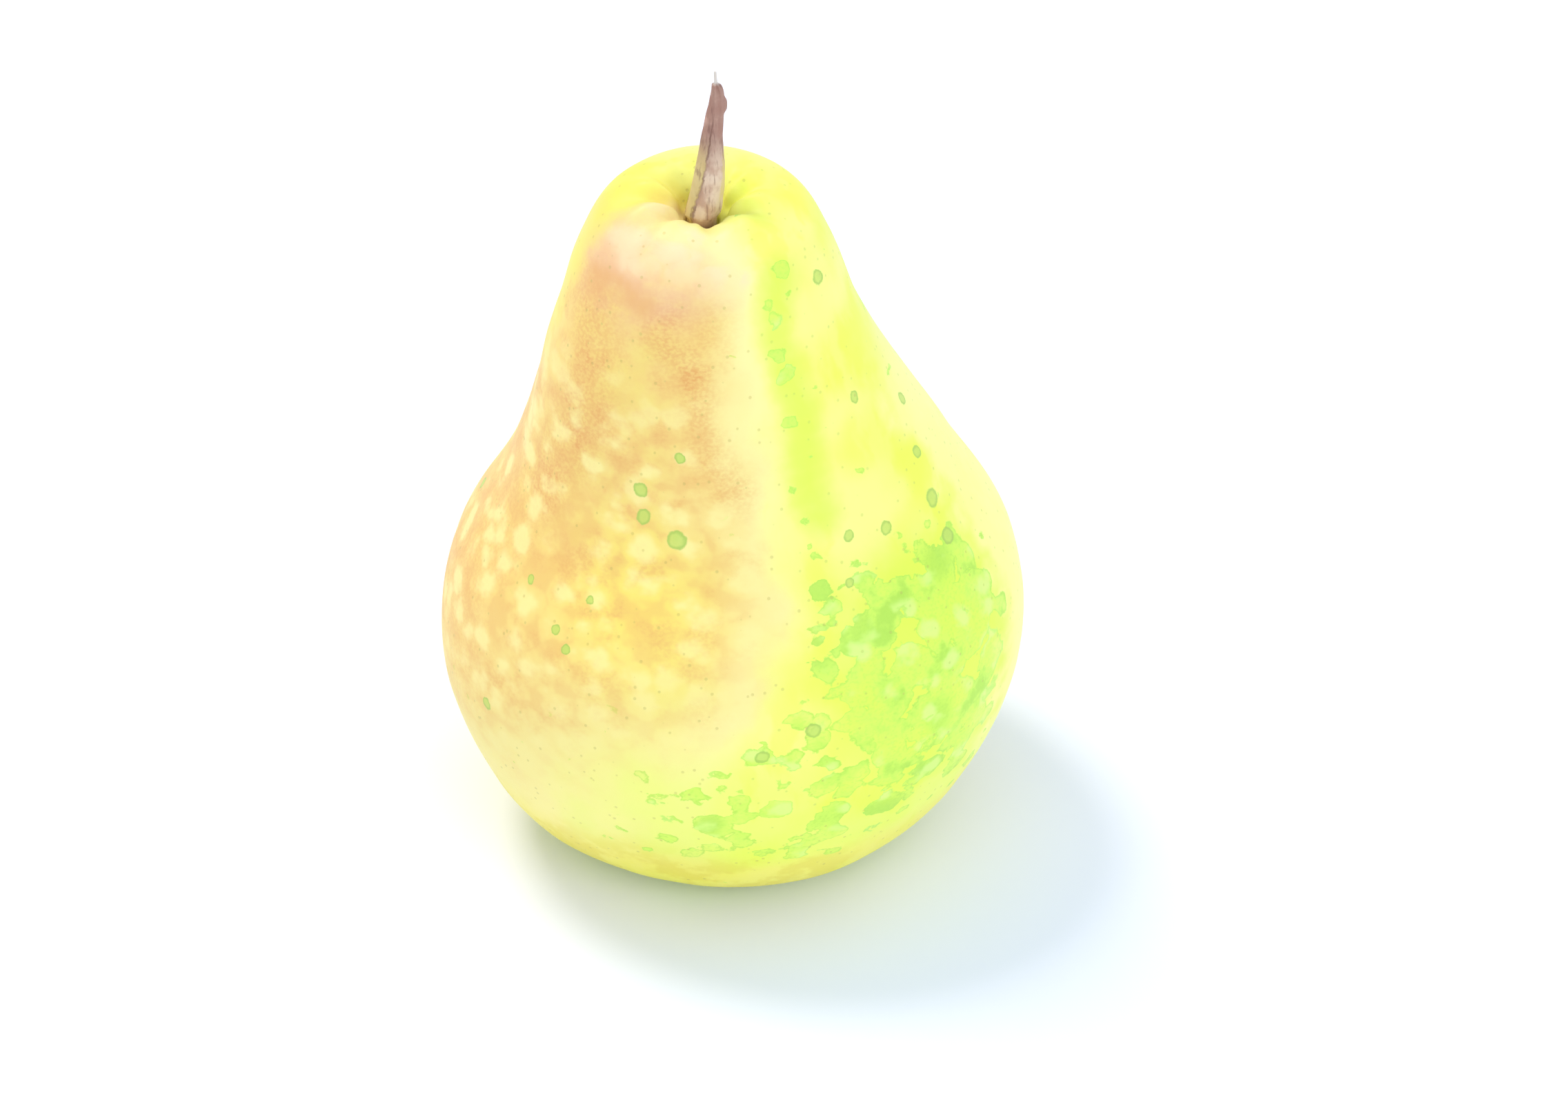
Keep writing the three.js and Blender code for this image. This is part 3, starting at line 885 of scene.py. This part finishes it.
SCAR_HALF_WIDTH = 0.55
SCAR_STANDS_OUT = 0.34
TORN_RISES = (15.5, 17.5)
TORN_EDGE = [(0.12, 3, 0.7), (0.1, 7, 0)]
GROOVE_DEPTH = 0.22
GROOVE_WIDTH = 0.15
GROOVE_TURN = -17
GROOVE_FOOT_TURN = -36
GROOVE_STRAIGHTENS = (2.5, 7)
GROOVE_BEGINS = (0.5, 2)
GROOVE_ENDS = (12, 14.5)


def groove_turn(rise):
    """How far to the right of the front the groove runs, in degrees. Its foot is further to the left."""
    return GROOVE_TURN - (GROOVE_TURN - GROOVE_FOOT_TURN) * (1 - smoothstep(*GROOVE_STRAIGHTENS, rise))


def turned_from(angles, middle):
    """How far each angle is from the middle one, in radians, the short way round."""
    return np.angle(np.exp(1j * (angles - middle)))


def stem_rings():
    stations = spaced_evenly(smooth_line(STEM_STATIONS, STEM_SPAN_STEPS), STEM_ROWS)
    rise, bend_x, bend_y, radius = (column[:, None] for column in stations.T)
    around = np.linspace(0, 2 * math.pi, STEM_SIDES, endpoint=False)[None, :]
    ridges = waves(around + RIDGE_TWIST * rise, *RIDGES)
    scar = ((rise - SCAR_RISE) / SCAR_HALF_HEIGHT) ** 4 + (turned_from(around, 0) / SCAR_HALF_WIDTH) ** 2
    from_groove = turned_from(around, np.radians(groove_turn(rise) - 90))
    groove = np.exp(-(from_groove / GROOVE_WIDTH) ** 2) * between(GROOVE_BEGINS, GROOVE_ENDS, rise)
    torn = smoothstep(*TORN_RISES, rise) * waves(around, *TORN_EDGE)
    thin = np.minimum(radius, 1)
    full = radius * (1 + torn) + (RIDGE_DEPTH * ridges - GROOVE_DEPTH * groove) * thin
    full = full + SCAR_STANDS_OUT * np.exp(-scar)
    rings = np.stack([STEM_FOOT[0] + bend_x + full * np.cos(around),
                      STEM_FOOT[1] + bend_y + full * np.sin(around),
                      DIMPLE_FLOOR + rise + 0 * around], axis=-1)
    rough = STEM_LUMP_DEPTH * lumps(rings, STEM_LUMP_GRAIN, STEM_LUMP_SEED) * thin
    return rings + outward(rings) * rough[..., None]


def stem_body():
    root = [level_ring(STEM_FOOT, STEM_ROOT_RADIUS, DIMPLE_FLOOR + rise, STEM_SIDES)
            for rise in (-STEM_ROOT_DEPTH, STEM_ROOT_TOP)]
    rings = np.concatenate([root, stem_rings()])
    foot = (*STEM_FOOT, DIMPLE_FLOOR - STEM_ROOT_DEPTH)
    return closed_loft(rings, foot, rings[-1].mean(0) + (0, 0, STEM_TIP))


# %% [markdown]
# The bark is tan at the foot and mauve towards the top, with pinkish patches there. Dry khaki covers the
# left side as far as the groove, and a shorter strip near the right edge. Dark lines follow the fibres and
# the groove, and the torn tip shows pale dry wood. Angles are measured round the stem's leaning middle.

# %% Finish of the stem
BARK = shade(192, 157, 132)
PALE_BARK = shade(221, 195, 166)
DARK_BARK = shade(118, 80, 64)
MAUVE_BARK = shade(154, 110, 94)
PINK_BARK = shade(204, 160, 140)
KHAKI = shade(212, 190, 118)
DRY_FIBRE = shade(216, 206, 190)
STEM_LEAN = (0.125, 0.055)
PATCH_GRAIN = 2.2
STRIP_EDGE_GRAIN = 0.8
STRIP_EDGE_WOBBLE = 26
FIBRE_STRETCH = (1.0, 1.0, 0.12)
FIBRE_GRAIN = 0.5
FIBRE_DEPTH = 0.12
LEFT_STRIP_ENDS = (12, 8)
RIGHT_STRIP_BEGINS = (2, 4)
RIGHT_STRIP_ENDS = (9.6, 8.6)
MAUVE_RISES = (6, 12)
PINK_BEGINS = (11, 13)
PINK_ENDS = (17, 15)
DARK_GROOVE_ENDS = (14.5, 12.5)
DRY_RISES = (17.6, 18)


def stem_finish():
    wood = Recipe("pear_bark")
    place = wood.place()
    x, y, rise = wood.axes(place - plain(stand + (*STEM_FOOT, DIMPLE_FLOOR)))
    x = x - rise * STEM_LEAN[0]
    front = (y - rise * STEM_LEAN[1]) * -1
    patches = wood.clouds(place, PATCH_GRAIN, 4)
    turn = wood.turn(x, front)
    ragged = turn + (wood.clouds(place, STRIP_EDGE_GRAIN, 3) - 0.5) * STRIP_EDGE_WOBBLE
    fibres = wood.clouds(place * FIBRE_STRETCH, FIBRE_GRAIN, 4)
    colour = wood.mix(wood.fade(patches, 0.38, 0.6), BARK, PALE_BARK)
    groove_bend = wood.fade(rise, *GROOVE_STRAIGHTENS) * (GROOVE_TURN - GROOVE_FOOT_TURN)
    past_groove = ragged - groove_bend - GROOVE_FOOT_TURN
    left = wood.fade(past_groove, 2, -4) * wood.fade(turn, -150, -120)
    right = wood.fade(ragged, 50, 60) * wood.fade(turn, 150, 120)
    khaki = left * wood.fade(rise, *LEFT_STRIP_ENDS)
    khaki = khaki + right * wood.fade(rise, *RIGHT_STRIP_ENDS) * wood.fade(rise, *RIGHT_STRIP_BEGINS)
    colour = wood.mix(khaki * 0.8, colour, KHAKI)
    colour = wood.mix(wood.fade(rise, *MAUVE_RISES) * 0.8, colour, MAUVE_BARK)
    pink = wood.fade(patches, 0.5, 0.62) * wood.fade(rise, *PINK_BEGINS) * wood.fade(rise, *PINK_ENDS)
    colour = wood.mix(pink * 0.7, colour, PINK_BARK)
    colour = wood.mix(wood.fade(fibres, 0.46, 0.34) * 0.5, colour, DARK_BARK)
    in_groove = wood.fade(past_groove, -9, -2) * wood.fade(past_groove, 8, 1)
    in_groove = in_groove * wood.fade(rise, *DARK_GROOVE_ENDS)
    colour = wood.mix(in_groove * (0.3 + wood.fade(patches, 0.4, 0.6) * 0.4), colour, DARK_BARK)
    colour = wood.mix(wood.fade(rise, *DRY_RISES), colour, DRY_FIBRE)
    relief = wood.bump(fibres, FIBRE_DEPTH)
    return wood.surface({"Base Color": colour, "Roughness": 0.62 + fibres * 0.25, "Normal": relief})


make_piece("pear_stem", [stood(stem_body())], stem_finish(), "stem")

# %% [markdown]
# ## The calyx
# Under the fruit, in the middle of its basin, sits what is left of the blossom: a short cup, five withered
# sepals that curl down, and a tuft of dry stamens in the cup's mouth. The cup is a profile of radii and
# heights. A sepal could be a flat blade with thickness added. As a loft of its own it can have a rib,
# cupped sides and a crumpled edge.

# %% Cup and sepals
CUP = [(1.04, 3.3), (1.3, 2.2), (2.0, 2.2), (2.3, 3.5), (1.8, 4.2), (1.5, 4.6), (1.5, 7.6)]
CUP_SIDES = 48
SEPAL_COUNT = 5
SEPAL_REACH = 6.0
SEPAL_ROOT = 1.4
SEPAL_HALF_WIDTH = 1.45
SEPAL_TIP_HALF_WIDTH = 0.2
SEPAL_TAPER = 0.8
SEPAL_HALF_THICKNESS = 0.2
SEPAL_HEIGHT = 2.9
SEPAL_CURL = 1.7
SEPAL_ARCH = 0.25
SEPAL_CUPPING = 0.16
SEPAL_RIB_DEPTH = 0.12
SEPAL_RIB_WIDTH = 0.25
CRUMPLE_DEPTH = 0.16
CRUMPLE_GRAIN = 1.3
SEPAL_SIDES = 20
SEPAL_ROWS = 26


def cup_body():
    rings = np.array([level_ring((0, 0), radius, height, CUP_SIDES) for radius, height in CUP])
    return closed_loft(rings, (0, 0, CUP[0][1]), (0, 0, CUP[-1][1]))


def sepal_body(angle, seed):
    """One withered sepal: a blade with a rib, cupped sides and a tip that curls down."""
    share = np.linspace(0, 1, SEPAL_ROWS)[:, None]
    turn = np.linspace(0, 2 * math.pi, SEPAL_SIDES, endpoint=False)[None, :]
    half = SEPAL_TIP_HALF_WIDTH + SEPAL_HALF_WIDTH * (1 - share) ** SEPAL_TAPER
    out = SEPAL_ROOT + share * (SEPAL_REACH - SEPAL_ROOT) + 0 * turn
    side = half * np.cos(turn)
    middle = SEPAL_HEIGHT - SEPAL_CURL * share**2 + SEPAL_ARCH * np.sin(3 * share)
    rib = SEPAL_RIB_DEPTH * np.exp(-(side / SEPAL_RIB_WIDTH) ** 2) * (1 - share)
    cupped = SEPAL_CUPPING * (side / SEPAL_HALF_WIDTH) ** 2 - rib
    rings = np.stack([out, side, middle + SEPAL_HALF_THICKNESS * np.sin(turn) + cupped], axis=-1)
    crumple = CRUMPLE_DEPTH * lumps(rings, CRUMPLE_GRAIN, seed)
    rings = rings + np.array([0, 0, 1.0]) * crumple[..., None]
    turned = np.stack([rings[..., 0] * math.cos(angle) - rings[..., 1] * math.sin(angle),
                       rings[..., 0] * math.sin(angle) + rings[..., 1] * math.cos(angle),
                       rings[..., 2]], axis=-1)
    return closed_loft(turned, turned[0].mean(0), turned[-1].mean(0))


# %% [markdown]
# The stamens are thin threads that fan out of the cup's mouth. Each is turned on from the one before by an
# angle that never repeats, as seeds in a flower head are, and they lean out by three different amounts.

# %% Stamens
STAMEN_COUNT = 14
STAMEN_TURN = 2.4
STAMEN_FOOT_RADIUS = 0.35
STAMEN_LEANS = (0.35, 0.6, 0.85)
STAMEN_RADIUS = 0.09
STAMEN_TAPER = 0.03
STAMEN_TOP = 3.45
STAMEN_LENGTH = 1.5
STAMEN_ROWS = 7
STAMEN_SIDES = 8


def stamen_body(number):
    """A dry thread that leans out of the cup's mouth."""
    angle = number * STAMEN_TURN
    lean = STAMEN_LEANS[number % len(STAMEN_LEANS)]
    rings = []
    for share in np.linspace(0, 1, STAMEN_ROWS):
        out = STAMEN_FOOT_RADIUS + lean * share
        centre = (math.cos(angle) * out, math.sin(angle) * out)
        radius = STAMEN_RADIUS - STAMEN_TAPER * share
        rings.append(level_ring(centre, radius, STAMEN_TOP - STAMEN_LENGTH * share, STAMEN_SIDES)[::-1])
    return closed_loft(np.array(rings), rings[0].mean(0), rings[-1].mean(0))


# %% [markdown]
# All of it is withered to the same papery brown, with darker veins.

# %% Finish of the calyx
HUSK = shade(96, 70, 46)
PALE_HUSK = shade(150, 118, 80)
DARK_HUSK = shade(48, 34, 24)
VEIN_GRAIN = 0.5
VEIN_DEPTH = 0.15
HUSK_PATCH_GRAIN = 1.8
SEPAL_OFFSET = 0.25
FIRST_SEPAL_SEED = 2.0


def calyx_finish():
    husk = Recipe("pear_husk")
    place = husk.place()
    veins = husk.clouds(place, VEIN_GRAIN, 4)
    patches = husk.clouds(place, HUSK_PATCH_GRAIN, 2)
    colour = husk.mix(husk.fade(patches, 0.4, 0.6), HUSK, PALE_HUSK)
    colour = husk.mix(husk.fade(veins, 0.55, 0.4) * 0.8, colour, DARK_HUSK)
    rough = 0.75 + veins * 0.2
    return husk.surface({"Base Color": colour, "Roughness": rough, "Normal": husk.bump(veins, VEIN_DEPTH)})


sepals = [sepal_body((i + SEPAL_OFFSET) / SEPAL_COUNT * 2 * math.pi, FIRST_SEPAL_SEED + i)
          for i in range(SEPAL_COUNT)]
stamens = [stamen_body(number) for number in range(STAMEN_COUNT)]
calyx_bodies = [stood(body) for body in (cup_body(), *sepals, *stamens)]
make_piece("pear_calyx", calyx_bodies, calyx_finish(), "calyx")

# %% [markdown]
# ## Floor and light
# The pear stands on a plain pale floor, a large disc with hardly any gloss.

# %% Floor
FLOOR_RADIUS = 3.0
FLOOR_SIDES = 64
FLOOR_TONES = (shade(240, 242, 253), shade(242, 244, 254))
FLOOR_GRAIN = 60

floor_mesh = bpy.data.meshes.new("floor")
floor_ring = level_ring((0, 0), FLOOR_RADIUS, 0, FLOOR_SIDES)
floor_mesh.from_pydata(floor_ring.tolist(), [], [tuple(range(FLOOR_SIDES))])
floor = bpy.data.objects.new("floor", floor_mesh)
bpy.context.scene.collection.objects.link(floor)
plaster = Recipe("pale_floor")
cloudy = plaster.clouds(plaster.place(), FLOOR_GRAIN)
floor_mesh.materials.append(plaster.surface({
    "Base Color": plaster.mix(cloudy, *FLOOR_TONES), "Roughness": 0.9, "Specular IOR Level": 0.1}))

# %% [markdown]
# Soft light comes from the upper left and a little from behind, so the shadow falls to the lower right, and
# a broad fill from the front keeps the skin bright. The surrounding light is slightly blue and the lamp
# slightly warm: together they give white, and the shadow alone looks blue.

# %% Light
SURROUND_COLOUR = (0.8, 0.86, 1.0)
SURROUND_STRENGTH = 0.86
KEY_ELEVATION = math.radians(60)
KEY_FROM = Vector((-0.777, 0.629, 0))
KEY_DISTANCE = 2.4
KEY_SIZE = 0.8
KEY_POWER = 28
KEY_COLOUR = (1.0, 0.93, 0.8)
FILL_SIZE = 1.3
FILL_COLOUR = (0.82, 0.9, 1.0)
BACK_FILL_COLOUR = (0.6, 0.75, 1.0)
FILLS = [("right_fill", (1.2, -1.3, 0.7), 12, FILL_COLOUR), ("left_fill", (-1.1, -1.4, 0.5), 4, FILL_COLOUR),
         ("back_fill", (1.1, 0.6, 0.8), 3, BACK_FILL_COLOUR)]
LIT_POINT = Vector((0, 0, 45 * MM))


def area_light(name, place, size, power, colour):
    lamp = bpy.data.lights.new(name, "AREA")
    lamp.shape = "DISK"
    lamp.size = size
    lamp.energy = power
    lamp.color = colour
    light = bpy.data.objects.new(name, lamp)
    light.location = place
    light.rotation_euler = (LIT_POINT - place).to_track_quat("-Z", "Y").to_euler()
    bpy.context.scene.collection.objects.link(light)
    print(name, "light:", power, "W from", [round(v, 2) for v in place], "m")


world = bpy.data.worlds.new("surround")
world.use_nodes = True
world.node_tree.nodes["Background"].inputs["Color"].default_value = (*SURROUND_COLOUR, 1)
world.node_tree.nodes["Background"].inputs["Strength"].default_value = SURROUND_STRENGTH
bpy.context.scene.world = world
bpy.context.scene.view_settings.view_transform = "Standard"
key_direction = KEY_FROM * math.cos(KEY_ELEVATION) + Vector((0, 0, math.sin(KEY_ELEVATION)))
area_light("key", LIT_POINT + key_direction * KEY_DISTANCE, KEY_SIZE, KEY_POWER, KEY_COLOUR)
for name, place, power, colour in FILLS:
    area_light(name, Vector(place), FILL_SIZE, power, colour)
